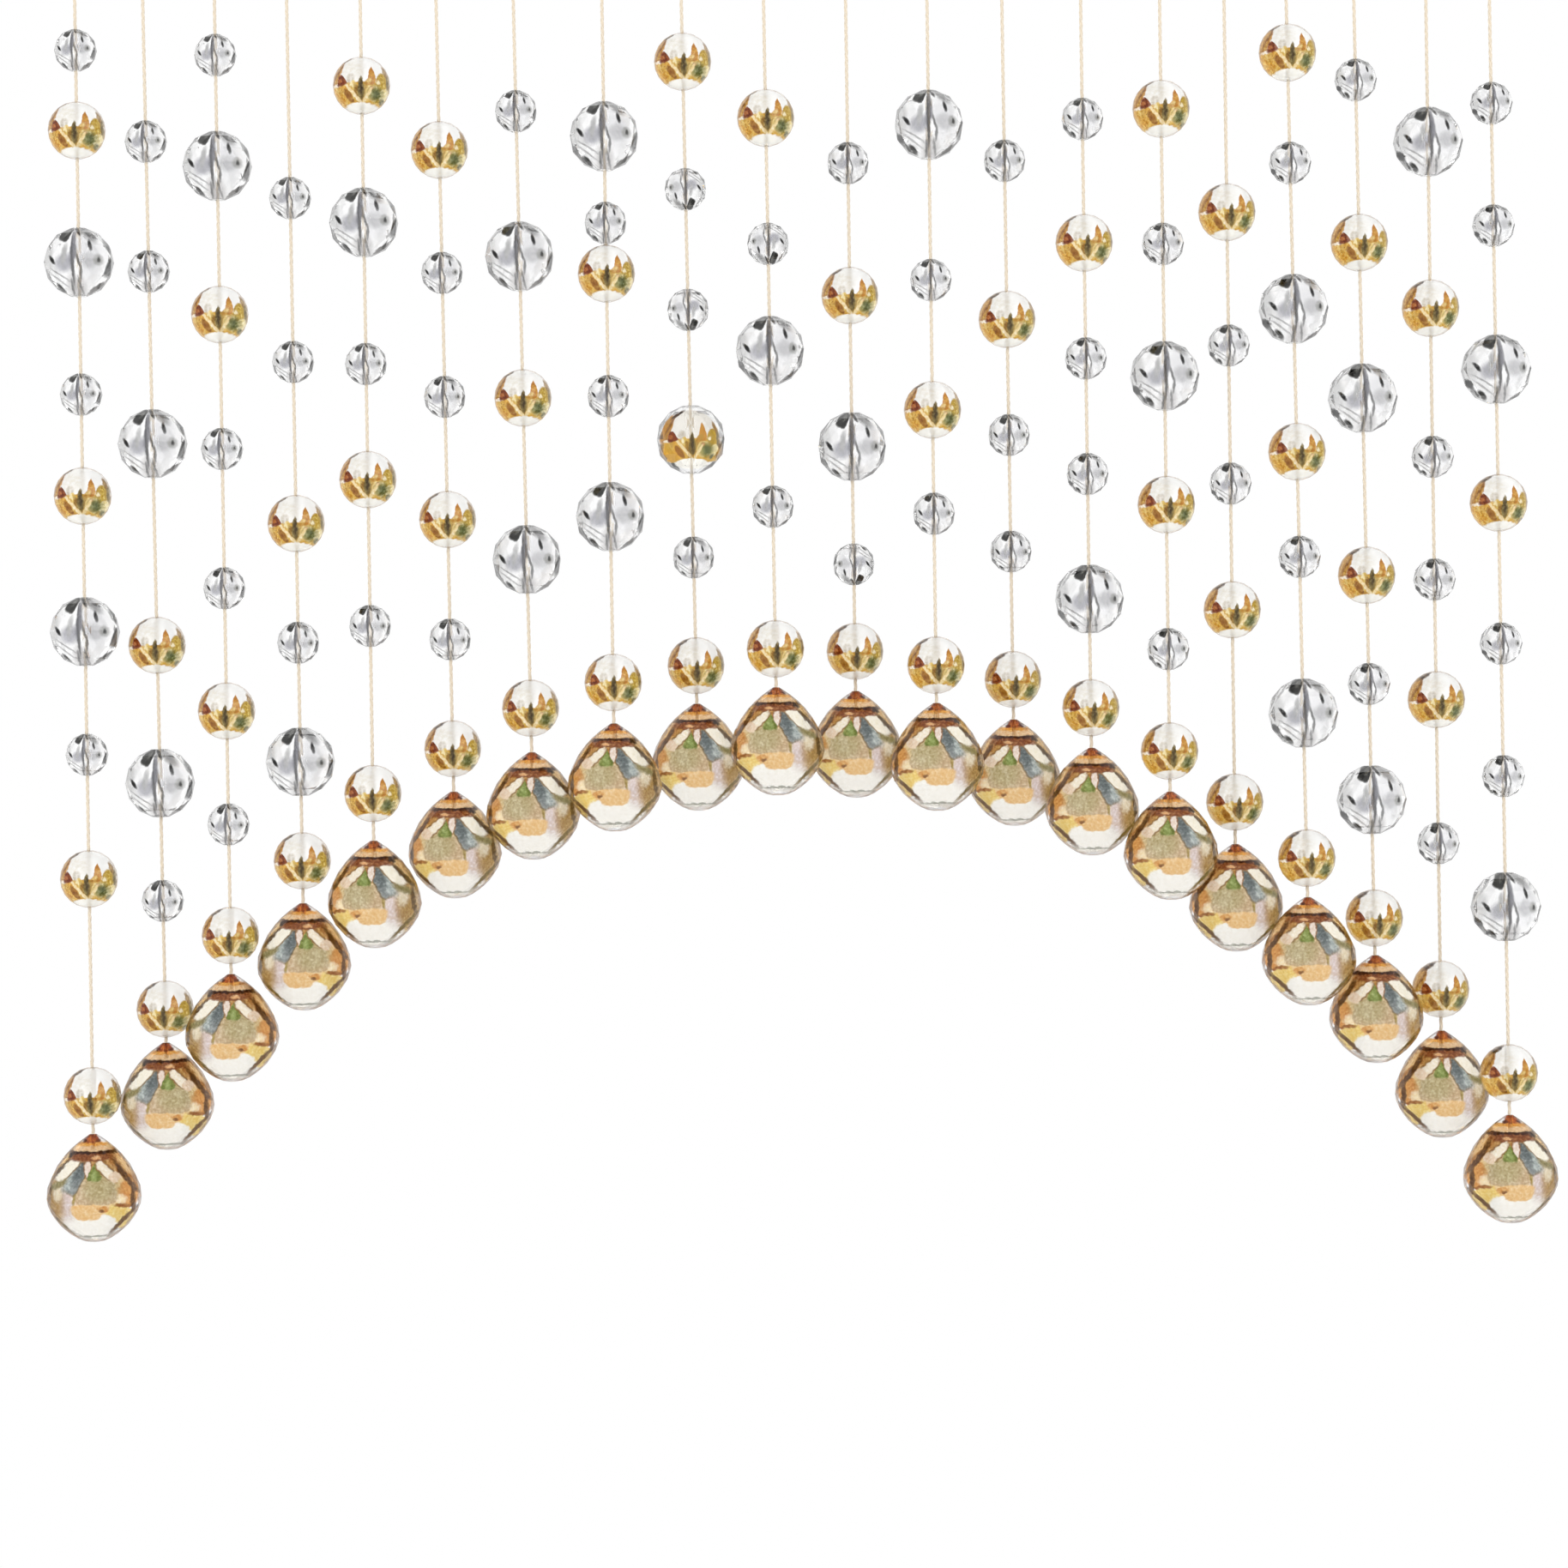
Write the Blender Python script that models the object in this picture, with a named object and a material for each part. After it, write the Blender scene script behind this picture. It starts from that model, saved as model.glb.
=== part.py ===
"""Bead curtain: an arched valance of twenty threaded strings under a heading tape.

Units are metres and +Z is up. The origin is the middle of the tape's top edge, +X runs to the
right along the tape, and -Y faces the viewer. The table below is in millimetres.
"""
import math

import bmesh
import bpy
from mathutils import Matrix, Vector

MM = 0.001
CLEAR = 0.3 * MM                    # gap left between two separate pieces

# Heading tape, the narrow strip that the strings are sewn into
TAPE_LENGTH = 616 * MM
TAPE_HEIGHT = 12 * MM
TAPE_THICK = 2 * MM
ROOT_IN_TAPE = 5 * MM               # how far a string runs up inside the tape

# String, square in section, with a thinned end that is glued into the pendant's tip
STRING_WIDTH = 1.6 * MM
PIN_WIDTH = 0.9 * MM
PIN_LENGTH = 8 * MM
PIN_TAPER_END = 1 * MM              # the thin end starts this far above the pendant's tip

# Beads: cut glass balls with a flat belt
BEAD_SIDES = 8
SMALL_RADIUS = 9 * MM
GOLD_RADIUS = 12 * MM
LARGE_RADIUS = 14.5 * MM
BELT_HALF = 0.27                    # half height of the belt, as a share of the radius
SHOULDER_HEIGHT = 0.78              # height of the shoulder ring, as a share of the radius
SHOULDER_RADIUS = 0.62              # radius of the shoulder ring, likewise
RIM_HEIGHT = 0.98                   # height of the flat round the bore, likewise
RIM_RADIUS = 0.22                   # outer radius of that flat, likewise
BORE_RADIUS = (STRING_WIDTH / math.sqrt(2) + CLEAR) / math.cos(math.pi / BEAD_SIDES)

# Pendant: a cut glass drop. Each row of its outline is a depth below the tip and a radius.
PENDANT_SIDES = 10
PENDANT_OUTLINE_MM = (
    (0.0, 1.4),                     # flat round the bore
    (3.2, 6.1),                     # foot of the pointed cap
    (8.6, 12.0),                    # ring under the collar
    (17.8, 17.7),                   # shoulder
    (26.8, 20.0),                   # widest belt
    (32.5, 18.3),
    (38.0, 14.4),
    (42.2, 9.6),
    (45.0, 4.6),                    # flat at the foot
)
PIN_BORE_RADIUS = (PIN_WIDTH / math.sqrt(2) + CLEAR) / math.cos(math.pi / PENDANT_SIDES)
PIN_BORE_DEPTH = PIN_LENGTH + CLEAR

# One row for each string, in millimetres.
# heading_x: place at the tape. pendant_x: place at the pendant's tip.
# forward: how far the tip hangs towards the viewer, because a pendant is wider than the pitch
# and neighbours lie one before the other.
# tip: drop from the tape's lower edge to the pendant's tip.
# beads: threading order from the top, with the drop of each bead's centre. S small clear,
# G gold, L large clear.
STRANDS = (
    # heading_x, pendant_x, forward, tip, beads
    (-299.5, -298.9, 7, 483.6, "S25 G59 L115 S171 G214 L271.5 S323.5 G376 G467.5"),
    (-270.7, -269.2, -5, 446.3, "S64 S119 L192 G277.5 L336 S386 G432"),
    (-240.3, -240.0, 3, 417.3, "S28 L75 G138 S195 S254 G306 S354 G401"),
    (-209.7, -209.6, -2, 388.0, "S89 S158.5 G227 S277.5 L328 G370"),
    (-178.5, -178.9, 1, 362.0, "G42 L100 S160 G209 S271 G342"),
    (-146.4, -145.5, -10, 341.8, "G69.5 S121.5 S174 G226 S277 G323.5"),
    (-113.7, -111.4, 0, 325.7, "S54 L115.5 G175.5 L244 G307"),
    (-76.1, -75.9, 12, 314.3, "L65.6 S102.5 G124 S176 L227 G297"),
    (-42.5, -41.2, -8, 306.2, "G34 S88 S139 L194 S244 G290"),
    (-7.6, -7.3, 12, 300.3, "G59 S112.6 L158 S224 G284"),
    (27.2, 26.5, -11, 301.9, "S78 G134 L198 S248 G285"),
    (61.7, 60.2, 9, 308.0, "L63 S129 G184 S228 G292"),
    (93.4, 93.9, -16, 315.1, "S78 G145 S194 S243.5 G298"),
    (126.8, 125.7, 2, 328.0, "S61.5 G114 S163 S212 L265 G311"),
    (160.3, 157.7, 13, 347.1, "G58 S115.5 L171.5 G226 S287 G330"),
    (187.6, 186.1, 0, 369.8, "G102 S158.5 S217 G270.5 G352"),
    (213.8, 214.8, 13, 392.5, "G35 S82 L144 G204.5 S249 L315 G376"),
    (242.5, 243.8, 5, 417.7, "S47 G116 L182 G257 S303 L352 G402"),
    (273.1, 272.7, -5, 450.6, "L73.5 G144 S207 S259 G310 S371 G433"),
    (300.0, 298.3, 12, 485.6, "S58 S110 L171 G227.5 S287 S343 L398 G468"),
)


def bead_chart(strand):
    """Gives each bead of a string as its kind and its drop in metres, from the top down."""
    return [(word[0], float(word[1:]) * MM) for word in strand["beads"].split()]


def strand_rows():
    names = ("heading_x", "pendant_x", "forward", "tip", "beads")
    return [dict(zip(names, row)) for row in STRANDS]


def hang(strand):
    """Places a straight string: its local -Z runs from the tape's edge to the pendant's tip.

    Returns the placing matrix, and how much longer the leaning string is than its drop.
    """
    top = Vector((strand["heading_x"] * MM, 0, -TAPE_HEIGHT))
    tip = Vector((strand["pendant_x"] * MM, -strand["forward"] * MM, -TAPE_HEIGHT - strand["tip"] * MM))
    down = tip - top
    turn = Vector((0, 0, -1)).rotation_difference(down)
    return Matrix.Translation(top) @ turn.to_matrix().to_4x4(), down.length / (strand["tip"] * MM)


def add_ring(bm, height, radius, sides):
    """Adds a ring of points round Z, with a flat side to the viewer when it has four."""
    place = Matrix.Translation((0, 0, height)) @ Matrix.Rotation(math.pi / 4, 4, "Z")
    return bmesh.ops.create_circle(
        bm, cap_ends=False, segments=sides, radius=radius, matrix=place)["verts"]


def ring_edges(ring):
    points = set(ring)
    return {edge for point in ring for edge in point.link_edges if edge.other_vert(point) in points}


def skin_rings(bm, rings):
    """Joins each ring to the next and closes both ends."""
    loops = [ring_edges(ring) for ring in rings]
    for upper, lower in zip(loops, loops[1:]):
        bmesh.ops.bridge_loops(bm, edges=list(upper | lower))
    for end in (loops[0], loops[-1]):
        bmesh.ops.contextual_create(bm, geom=list(end))
    bmesh.ops.recalc_face_normals(bm, faces=bm.faces)


def bead_profile(radius):
    """Half outline of a cut bead from its upper shoulder to its lower one, as (height, radius)."""
    return (
        (SHOULDER_HEIGHT * radius, SHOULDER_RADIUS * radius),
        (BELT_HALF * radius, radius),
        (-BELT_HALF * radius, radius),
        (-SHOULDER_HEIGHT * radius, SHOULDER_RADIUS * radius),
    )


def small_profile(radius):
    """The small bead is cut with an edge for a belt."""
    upper, _, _, lower = bead_profile(radius)
    return upper, (0.0, radius), lower


def strand_solid(strand, place, stretch):
    """One string with its small and gold beads on it, as a single skin."""
    string = STRING_WIDTH / math.sqrt(2)
    pin = PIN_WIDTH / math.sqrt(2)
    tip = -strand["tip"] * MM * stretch
    bm = bmesh.new()
    rings = [add_ring(bm, ROOT_IN_TAPE, string, 4)]
    for kind, drop in bead_chart(strand):
        if kind == "L":
            continue
        radius = GOLD_RADIUS if kind == "G" else SMALL_RADIUS
        profile = bead_profile(radius) if kind == "G" else small_profile(radius)
        centre = -drop * stretch
        rings.append(add_ring(bm, centre + radius, string, 4))
        rings += [add_ring(bm, centre + height, reach, BEAD_SIDES) for height, reach in profile]
        rings.append(add_ring(bm, centre - radius, string, 4))
    rings.append(add_ring(bm, tip + PIN_TAPER_END, pin, 4))
    rings.append(add_ring(bm, tip - PIN_LENGTH, pin, 4))
    skin_rings(bm, rings)
    bmesh.ops.transform(bm, matrix=place, verts=bm.verts)
    return bm


def turned(profile, sides, closed):
    """Turns an outline of (height, radius) points round Z in flat sides.

    A closed outline makes a bored ring; an open one is capped at both ends.
    """
    bm = bmesh.new()
    points = [bm.verts.new((radius, 0, height)) for height, radius in profile]
    pairs = list(zip(points, points[1:]))
    if closed:
        pairs.append((points[-1], points[0]))
    edges = [bm.edges.new(pair) for pair in pairs]
    bmesh.ops.spin(bm, geom=points + edges, cent=(0, 0, 0), axis=(0, 0, 1), angle=2 * math.pi,
                   steps=sides, use_merge=True)
    if not closed:
        bmesh.ops.holes_fill(bm, edges=bm.edges, sides=sides)
    bmesh.ops.recalc_face_normals(bm, faces=bm.faces)
    return bm


def large_bead_solid():
    """A large clear bead with its bore."""
    rim = (RIM_HEIGHT * LARGE_RADIUS, RIM_RADIUS * LARGE_RADIUS)
    outside = (rim, *bead_profile(LARGE_RADIUS), (-rim[0], rim[1]))
    bore = ((-rim[0], BORE_RADIUS), (rim[0], BORE_RADIUS))
    return turned(outside + bore, BEAD_SIDES, closed=True)


def pendant_solid():
    """A pendant with its tip at the origin and a blind bore for the string's thin end."""
    outside = tuple((-depth * MM, radius * MM) for depth, radius in PENDANT_OUTLINE_MM)
    bore = ((-PIN_BORE_DEPTH, PIN_BORE_RADIUS), (0.0, PIN_BORE_RADIUS))
    return turned(bore + outside, PENDANT_SIDES, closed=False)


def make_material(name, colour, roughness, glass):
    material = bpy.data.materials.new(name)
    material.use_nodes = True
    shader = material.node_tree.nodes["Principled BSDF"]
    shader.inputs["Base Color"].default_value = (*colour, 1)
    shader.inputs["Roughness"].default_value = roughness
    shader.inputs["Metallic"].default_value = 0.0
    shader.inputs["Transmission Weight"].default_value = glass
    return material


def add_object(name, bm, material, place=Matrix.Identity(4)):
    mesh = bpy.data.meshes.new(name)
    bm.to_mesh(mesh)
    bm.free()
    mesh.materials.append(material)
    obj = bpy.data.objects.new(name, mesh)
    obj.matrix_world = place
    bpy.context.scene.collection.objects.link(obj)
    return obj


def make_stringing(strands, material):
    """The tape with all strings rooted in it, and the small and gold beads on them."""
    together = bmesh.new()
    for strand in strands:
        one = strand_solid(strand, *hang(strand))
        mesh = bpy.data.meshes.new("one_string")
        one.to_mesh(mesh)
        one.free()
        together.from_mesh(mesh)
        bpy.data.meshes.remove(mesh)
    strings = add_object("strings_guide", together, material)
    strings.hide_render = True
    strings.display_type = "WIRE"

    tape = bmesh.new()
    size = Matrix.Diagonal((TAPE_LENGTH, TAPE_THICK, TAPE_HEIGHT, 1))
    middle = Matrix.Translation((0, 0, -TAPE_HEIGHT / 2))
    bmesh.ops.create_cube(tape, size=1, matrix=middle @ size)
    stringing = add_object("stringing", tape, material)
    join = stringing.modifiers.new("strings sewn in", "BOOLEAN")
    join.operation = "UNION"
    join.solver = "EXACT"
    join.object = strings
    return stringing


def main():
    for old in list(bpy.data.objects):
        bpy.data.objects.remove(old)
    cord = make_material("cream_cord", (0.82, 0.74, 0.62), 0.85, 0.0)
    clear_glass = make_material("clear_glass", (0.93, 0.94, 0.95), 0.03, 1.0)
    champagne_glass = make_material("champagne_glass", (0.88, 0.72, 0.48), 0.03, 1.0)

    strands = strand_rows()
    make_stringing(strands, cord)
    large_number = 0
    for number, strand in enumerate(strands, start=1):
        place, stretch = hang(strand)
        for kind, drop in bead_chart(strand):
            if kind != "L":
                continue
            large_number += 1
            seat = place @ Matrix.Translation((0, 0, -drop * stretch))
            add_object(f"large_bead_{large_number:02d}", large_bead_solid(), clear_glass, seat)
        seat = place @ Matrix.Translation((0, 0, -strand["tip"] * MM * stretch))
        add_object(f"pendant_{number:02d}", pendant_solid(), champagne_glass, seat)


main()
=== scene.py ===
"""Finish of a bead curtain: an arched valance of glass beads and drops on twenty cords.

Units are metres and +Z is up. The origin is the middle of the tape's top edge, and -Y faces the
viewer. The strand table is in millimetres, the bead marks are in bead radii, and the drop marks
are in millimetres from the drop's tip.
"""
import math

import bmesh
import bpy
from bpy.props import FloatProperty, FloatVectorProperty, IntProperty, PointerProperty
from mathutils import Matrix, Vector


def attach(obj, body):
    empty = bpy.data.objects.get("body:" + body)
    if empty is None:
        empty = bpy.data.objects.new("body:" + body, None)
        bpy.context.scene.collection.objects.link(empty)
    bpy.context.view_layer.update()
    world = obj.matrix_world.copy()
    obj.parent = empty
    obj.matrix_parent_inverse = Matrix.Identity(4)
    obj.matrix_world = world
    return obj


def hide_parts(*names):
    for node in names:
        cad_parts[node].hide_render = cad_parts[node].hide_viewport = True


bl_info = {
    "name": "Bead Curtain Finish",
    "version": (1, 0, 0),
    "blender": (4, 5, 0),
    "location": "View3D > Sidebar > Curtain",
    "description": "Dresses the bead curtain's frame in cut glass, twisted cord and woven tape",
    "category": "Object",
}

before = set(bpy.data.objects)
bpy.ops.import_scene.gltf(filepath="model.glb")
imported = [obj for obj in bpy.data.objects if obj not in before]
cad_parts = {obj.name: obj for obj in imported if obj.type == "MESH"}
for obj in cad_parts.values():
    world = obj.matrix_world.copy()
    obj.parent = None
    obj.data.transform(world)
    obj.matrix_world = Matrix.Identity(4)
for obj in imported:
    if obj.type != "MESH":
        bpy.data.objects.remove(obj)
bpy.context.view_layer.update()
MM = 0.001
SHARP_FROM = math.radians(40)       # least angle of an edge that stays sharp on a smooth mesh
BODY = "root"

# Tape and its stitches
TAPE_LENGTH = 616 * MM
TAPE_HEIGHT = 12 * MM
TAPE_ROUNDING = 0.3                 # of its edges, as a share of its thickness
TAPE_THREAD = 0.8 * MM              # width of a thread in its weave
TAPE_SHADE = 0.66                   # painted shade between its threads: the share of light left there
HEM_HEIGHTS = (-1.6 * MM, -10.4 * MM)   # of its two rows of stitches
STITCH_RADIUS = 0.25 * MM
TACKS = 4                           # stitches in the bar tack over a cord's root
TACK_RISE = 2.2 * MM                # of the first above the tape's lower edge
TACK_STEP = 1.1 * MM
TACK_LIFT = 0.3 * MM                # how far they stand off the tape's face
TACK_LEAN = math.radians(24)
TACK_LENGTH = 1.5                   # in stitches of the hems
SWELLING = (1.6 * MM, 1.2 * MM, 4 * MM)     # half sizes of the swelling over a root
SWELLING_RISE = 3.8 * MM            # of its middle above the tape's lower edge

# Cords
ROOT_IN_TAPE = 5 * MM               # how far a cord runs up inside the tape
PIN_LENGTH = 8 * MM                 # how far a cord's thin end is glued into its drop
PLIES = 3
PLY_SIDES = 5
PLY_STEPS = 8                       # in one turn of the lay
PLY_SHARE = 0.52                    # a ply's radius as a share of the cord's
WELD = 0.01 * MM                    # largest gap between two turns that are joined
CORD_SHADE = 0.9                    # light on its darkest fibres

# Beads and drops: rings in degrees above the belt, and a hole's mouth in bead radii above it
CLEAR_RINGS = (76, 52, 26, 0, -26, -52, -76)
CLEAR_MOUTH = math.sin(math.radians(80))
GOLD_RINGS = range(80, -81, -16)
GOLD_MOUTH = 0.975
HOLE_SIDES = 8
HALF_SIDE = 0.5                     # turn of every second ring, so that facets are triangles
DROP_HOLE = 1.0 * MM                # radius of a drop's hole
PIN_GAP = 0.3 * MM                  # air past the end of the cord

# Glass
WHITE = (1, 1, 1, 1)
SOFTEST = 0.9                       # widest fading edge, as a share of a mark's smaller half size
LEAST_TOP_WIDTH = 0.02              # of a mark that comes to a point
NOISE_MIDDLE = (0.5, 0.5, 0.5)      # mean of a noise's three channels
NOISE_RANGE = (0.3, 0.7)            # nearly all of a noise lies between these
BANDS_PER_UNIT = 3.2                # of a wave texture whose scale is 1

# Stage
FLOOR_COLOURS = ((0.93, 0.93, 0.93, 1), (0.9, 0.9, 0.89, 1))
FLOOR_HALF_WIDTH = 1.6
FLOOR_FORWARD = 0.6                 # how far the floor's middle lies in front of the curtain
PANELS = 8                          # pale panels round the room
GAP_LEVEL = 0.84                    # light in the middle of the gap between two panels
GAP_END = -0.3                      # where a panel starts, on a wave from -1 in the gap to 1
CURTAIN_MIDDLE = Vector((0, 0, -0.27))
LAMP_SIZE = 1.2
LAMP_OFFSET = (1.3, 1.6, 0.7)       # sideways, forward and up from the curtain's middle
CAMERA_AIM = (-4.7 * MM, -353 * MM)     # x and z of the point that it faces

# One row for each strand, in millimetres.
# heading_x: place at the tape. pendant_x: place at the drop's tip.
# forward: how far the tip hangs towards the viewer.
# tip: fall from the tape's lower edge to the drop's tip.
# beads: threading order from the top, with the fall of each bead's centre. S small clear,
# G gold, L large clear. A small letter s is a small bead threaded upside down, and l is a
# large clear bead with a gold heart.
STRAND_COLUMNS = ("heading_x", "pendant_x", "forward", "tip", "beads")
STRANDS = (
    (-299.5, -298.9, 7, 483.6, "S25 G59 L115 S171 G214 L271.5 S323.5 G376 G467.5"),
    (-270.7, -269.2, -5, 446.3, "S64 S119 L192 G277.5 L336 S386 G432"),
    (-240.3, -240.0, 3, 417.3, "S28 L75 G138 S195 S254 G306 S354 G401"),
    (-209.7, -209.6, -2, 388.0, "S89 S158.5 G227 S277.5 L328 G370"),
    (-178.5, -178.9, 1, 362.0, "G42 L100 S160 G209 S271 G342"),
    (-146.4, -145.5, -10, 341.8, "G69.5 S121.5 S174 G226 S277 G323.5"),
    (-113.7, -111.4, 0, 325.7, "S54 L115.5 G175.5 L244 G307"),
    (-76.1, -75.9, 12, 314.3, "L65.6 S102.5 G124 S176 L227 G297"),
    (-42.5, -41.2, -8, 306.2, "G34 s88 s139 l194 S244 G290"),
    (-7.6, -7.3, 12, 300.3, "G59 s112.6 L158 S224 G284"),
    (27.2, 26.5, -11, 301.9, "S78 G134 L198 s248 G285"),
    (61.7, 60.2, 9, 308.0, "L63 S129 G184 S228 G292"),
    (93.4, 93.9, -16, 315.1, "S78 G145 S194 S243.5 G298"),
    (126.8, 125.7, 2, 328.0, "S61.5 G114 S163 S212 L265 G311"),
    (160.3, 157.7, 13, 347.1, "G58 S115.5 L171.5 G226 S287 G330"),
    (187.6, 186.1, 0, 369.8, "G102 S158.5 S217 G270.5 G352"),
    (213.8, 214.8, 13, 392.5, "G35 S82 L144 G204.5 S249 L315 G376"),
    (242.5, 243.8, 5, 417.7, "S47 G116 L182 G257 S303 L352 G402"),
    (273.1, 272.7, -5, 450.6, "L73.5 G144 S207 S259 G310 S371 G433"),
    (300.0, 298.3, 12, 485.6, "S58 S110 L171 G227.5 S287 S343 L398 G468"),
)
DROPS_FROM_BEHIND = 4               # the drops of the first strands show their other side

# Outline of a drop: depth below its tip and radius, in millimetres
DROP_OUTLINE = (
    (0.0, 1.4), (1.6, 3.8), (3.2, 6.1), (5.9, 9.3), (8.6, 12.0), (13.0, 15.2), (17.8, 17.8),
    (22.2, 19.4), (26.8, 20.0), (29.8, 19.4), (32.5, 18.3), (35.4, 16.6), (38.0, 14.5),
    (40.3, 12.2), (42.2, 9.7), (43.8, 7.2), (45.0, 4.4), (45.4, 2.2),
)

# Marks painted on the glass, each one patch: painted light and shade that stand in for what the glass
# bends and reflects, over the tint of gold and champagne glass. Each has a plain name, a colour, the
# middle (x to the right and z up), half width, half height, a turn in degrees against the clock, a
# taper of the upper end (1 brings it to a point), and its edge: round, square, or round and soft.
MARK_COLUMNS = ("name", "colour", "x", "z", "half_width", "half_height", "turn", "taper", "edge")

# In bead radii. Clear glass has no colour of its own: every mark of the clear beads is painted light
# and shade that stands in for what the glass bends and reflects, the greys and darks as painted shade
# and the whites as painted light.
CLEAR_PAINTED_SHADE_AND_LIGHT = (
    ("left shade", "#DADADA", -0.84, 0.05, 0.14, 0.44, 0, 0, "soft"),
    ("right shade", "#ECECEE", 0.36, 0.08, 0.26, 0.42, 0, 0, "soft"),
    ("foot shade", "#D2D0D0", 0.02, -0.74, 0.18, 0.24, 0, 0, "soft"),
    ("upper left line", "#C2C2C2", -0.64, 0.60, 0.02, 0.26, -35, 0, "round"),
    ("smudge left of the middle", "#B6B6BC", -0.27, -0.12, 0.22, 0.18, 20, 0, "soft"),
    ("streak above the smudge", "#BDBDBD", -0.28, 0.12, 0.06, 0.22, -10, 0, "soft"),
    ("smudge right of the middle", "#CFCFD1", 0.40, -0.05, 0.16, 0.16, 10, 0, "soft"),
    ("light round the spot", "#B4B4B2", 0.66, -0.03, 0.09, 0.11, 0, 0, "soft"),
    ("dark spot", "#4C4C4A", 0.68, -0.03, 0.035, 0.06, 0, 0, "round"),
    ("top wedge", "#A8A8A8", 0.30, 0.76, 0.09, 0.26, 48, 0.2, "soft"),
    ("upper right line", "#9C9C9C", 0.84, 0.42, 0.04, 0.28, 27, 0, "round"),
    ("right rim", "#707070", 0.905, -0.17, 0.05, 0.27, -19, 0, "square"),
    ("lower right rim", "#7C7A78", 0.58, -0.755, 0.04, 0.31, -55, 0, "square"),
    ("lower left rim", "#8E8E8E", -0.70, -0.62, 0.03, 0.30, 40, 0, "round"),
    ("lower left dash", "#242424", -0.82, -0.43, 0.05, 0.15, 34, 0, "round"),
    ("foot dash", "#2C2C2A", -0.46, -0.77, 0.05, 0.16, 44, 0, "round"),
    ("left seam", "#BDBDBD", -0.44, -0.43, 0.02, 0.29, 56, 0, "round"),
    ("lower seam", "#C6C6C6", -0.46, -0.58, 0.018, 0.27, 52, 0, "round"),
    ("middle wedge", "#86868C", -0.01, 0.28, 0.085, 0.50, 0, 0.5, "soft"),
    ("dark side of the wedge", "#6C6C70", -0.055, 0.20, 0.02, 0.40, 0, 0, "round"),
    ("left branch", "#6E6E6E", -0.03, -0.36, 0.03, 0.32, 0, 0, "round"),
    ("right branch", "#868686", 0.14, -0.10, 0.03, 0.21, 17, 0, "round"),
    ("end of the right branch", "#909090", 0.19, -0.40, 0.03, 0.16, -6, 0, "round"),
    ("light between the branches", "#FFFFFF", 0.07, -0.28, 0.05, 0.26, 4, 0, "round"),
    ("left line at the foot", "#8A8A8A", -0.09, -0.78, 0.03, 0.18, 0, 0, "round"),
    ("right line at the foot", "#9A9A9A", 0.14, -0.74, 0.03, 0.20, 10, 0, "round"),
    # cap, light in the cap and leg of the cap: a painted dark patch at the top of the bead, standing
    # in for a dark refraction, with painted light in it
    ("cap", "#30302E", -0.25, 0.75, 0.16, 0.25, -27, 0.2, "square"),
    ("light in the cap", "#5E5E5A", -0.20, 0.80, 0.045, 0.12, -27, 0, "round"),
    ("leg of the cap", "#4A4848", 0.07, 0.82, 0.04, 0.15, 31, 0, "round"),
    ("left dash", "#0C0C0C", -0.66, 0.0, 0.05, 0.15, 35, 0, "round"),
    ("right dash", "#181818", 0.44, 0.39, 0.045, 0.15, 14, 0, "round"),
)
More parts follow.
